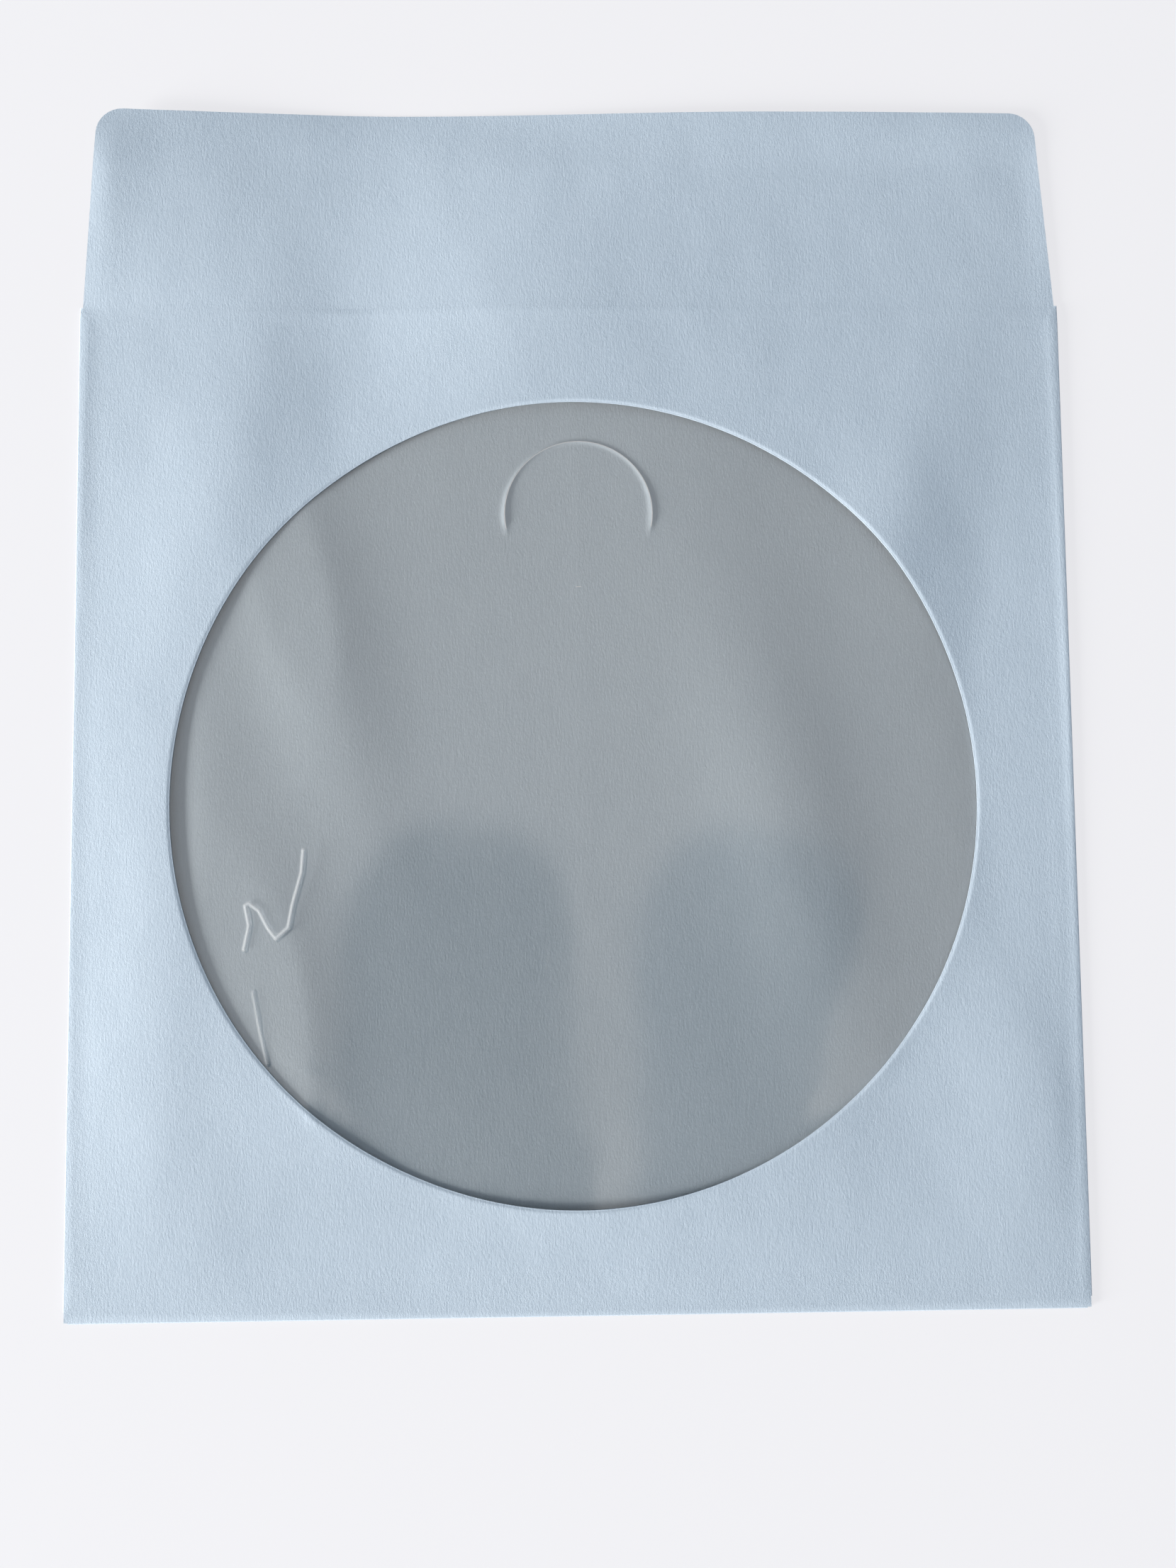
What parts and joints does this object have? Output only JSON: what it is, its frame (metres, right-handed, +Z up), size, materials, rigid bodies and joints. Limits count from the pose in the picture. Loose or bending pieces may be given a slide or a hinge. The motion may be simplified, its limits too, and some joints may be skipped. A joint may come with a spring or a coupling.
{
  "type": "window envelope",
  "caption": "Flat paper envelope for one disc, with a round clear-film window in the front, an open tapered flap and a half-moon tuck slit in the back.",
  "frame": {"origin": "under the middle of the outline, on the surface that the envelope lies on", "axes": "+Z up, out of the window, normal to the flat back panel; +Y along the length, from the bottom fold towards the open flap; +X to the right, seen with the flap at the top"},
  "size_m": [0.1244, 0.1507, 0.0019],
  "materials": {
    "paper": "uncoated white writing paper in cool daylight, matt",
    "film": "thin clear plastic film, glossy"
  },
  "bodies": {
    "root": {"paper_sleeve": "paper", "window_film": "film"}
  },
  "joints": []
}
